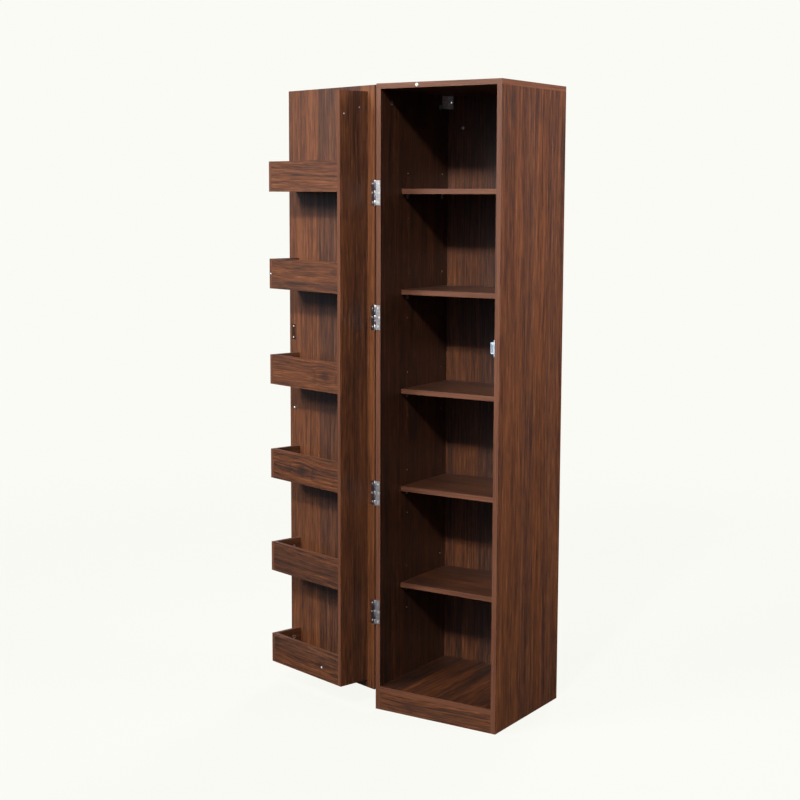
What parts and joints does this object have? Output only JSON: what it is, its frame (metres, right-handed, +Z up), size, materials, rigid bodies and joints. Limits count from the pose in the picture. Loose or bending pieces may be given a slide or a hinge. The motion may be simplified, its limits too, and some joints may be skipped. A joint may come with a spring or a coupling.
{
  "type": "pantry cabinet",
  "caption": "Tall narrow pantry cabinet of dark wood-grain boards: loose shelves inside, and a side-hung door that carries a rack of shallow baskets on its inner face.",
  "frame": {"origin": "middle of the front plinth's underside, on the floor", "axes": "+X to the cabinet's right as seen from the front, +Y from the front to the back, +Z up"},
  "size_m": [0.7871, 0.4628, 1.8],
  "materials": {
    "walnut_board": "satin laminate with a dark walnut grain",
    "rack_board": "satin laminate with a dark walnut grain",
    "back_sheet": "satin printed hardboard",
    "support_steel": "satin",
    "cam_zinc": "satin",
    "screw_steel": "satin",
    "dowel_beech": "matte",
    "hinge_steel": "satin",
    "bracket_steel": "satin",
    "catch_plastic": "gloss",
    "magnet_nickel": "satin",
    "bumper_rubber": "matte",
    "knob_metal": "satin"
  },
  "bodies": {
    "cabinet": {"side_panel_left": "walnut_board", "side_panel_right": "walnut_board", "top_panel": "walnut_board", "bottom_panel": "walnut_board", "front_plinth": "walnut_board", "back_panel": "back_sheet", "shelf_supports": "support_steel", "cam_locks_cabinet": "cam_zinc", "cam_bolts_cabinet": "screw_steel", "dowels_cabinet": "dowel_beech", "hinge_leaf_cabinet_1": "hinge_steel", "hinge_leaf_cabinet_2": "hinge_steel", "hinge_leaf_cabinet_3": "hinge_steel", "hinge_leaf_cabinet_4": "hinge_steel", "hinge_pins": "hinge_steel", "hinge_screws_cabinet": "screw_steel", "wall_bracket": "bracket_steel", "anchor_screw": "screw_steel", "fixing_screws": "screw_steel", "catch_housing": "catch_plastic", "catch_magnet": "magnet_nickel", "catch_pole_plates": "bracket_steel", "top_bumper": "bumper_rubber"},
    "shelf_1": {"shelf_1": "walnut_board"},
    "shelf_2": {"shelf_2": "walnut_board"},
    "shelf_3": {"shelf_3": "walnut_board"},
    "shelf_4": {"shelf_4": "walnut_board"},
    "shelf_5": {"shelf_5": "walnut_board"},
    "door": {"door_panel": "walnut_board", "rack_side_panel": "rack_board", "basket_rail_1": "rack_board", "basket_floor_1": "rack_board", "basket_end_1": "rack_board", "basket_rail_2": "rack_board", "basket_floor_2": "rack_board", "basket_end_2": "rack_board", "basket_rail_3": "rack_board", "basket_floor_3": "rack_board", "basket_end_3": "rack_board", "basket_rail_4": "rack_board", "basket_floor_4": "rack_board", "basket_end_4": "rack_board", "basket_rail_5": "rack_board", "basket_floor_5": "rack_board", "basket_end_5": "rack_board", "basket_rail_6": "rack_board", "basket_floor_6": "rack_board", "basket_end_6": "rack_board", "hinge_leaf_door_1": "hinge_steel", "hinge_leaf_door_2": "hinge_steel", "hinge_leaf_door_3": "hinge_steel", "hinge_leaf_door_4": "hinge_steel", "door_screws": "screw_steel", "strike_plate": "bracket_steel", "door_knob": "knob_metal", "knob_screw": "screw_steel", "cam_locks_door": "cam_zinc", "cam_bolts_door": "screw_steel", "dowels_door": "dowel_beech", "rack_bumpers": "bumper_rubber"}
  },
  "joints": [
    {"name": "door_hinge", "type": "hinge", "parent": "cabinet", "child": "door", "pos_m": [-0.203, -0.009, 0.9], "axis": [0, 0, 1], "range_deg": [0, 196]},
    {"name": "shelf_1_lift", "type": "slide", "parent": "cabinet", "child": "shelf_1", "axis": [0, 0, 1], "range_m": [0, 0.064]},
    {"name": "shelf_2_lift", "type": "slide", "parent": "cabinet", "child": "shelf_2", "axis": [0, 0, 1], "range_m": [0, 0.064]},
    {"name": "shelf_3_lift", "type": "slide", "parent": "cabinet", "child": "shelf_3", "axis": [0, 0, 1], "range_m": [0, 0.064]},
    {"name": "shelf_4_lift", "type": "slide", "parent": "cabinet", "child": "shelf_4", "axis": [0, 0, 1], "range_m": [0, 0.064]},
    {"name": "shelf_5_lift", "type": "slide", "parent": "cabinet", "child": "shelf_5", "axis": [0, 0, 1], "range_m": [0, 0.064]}
  ]
}
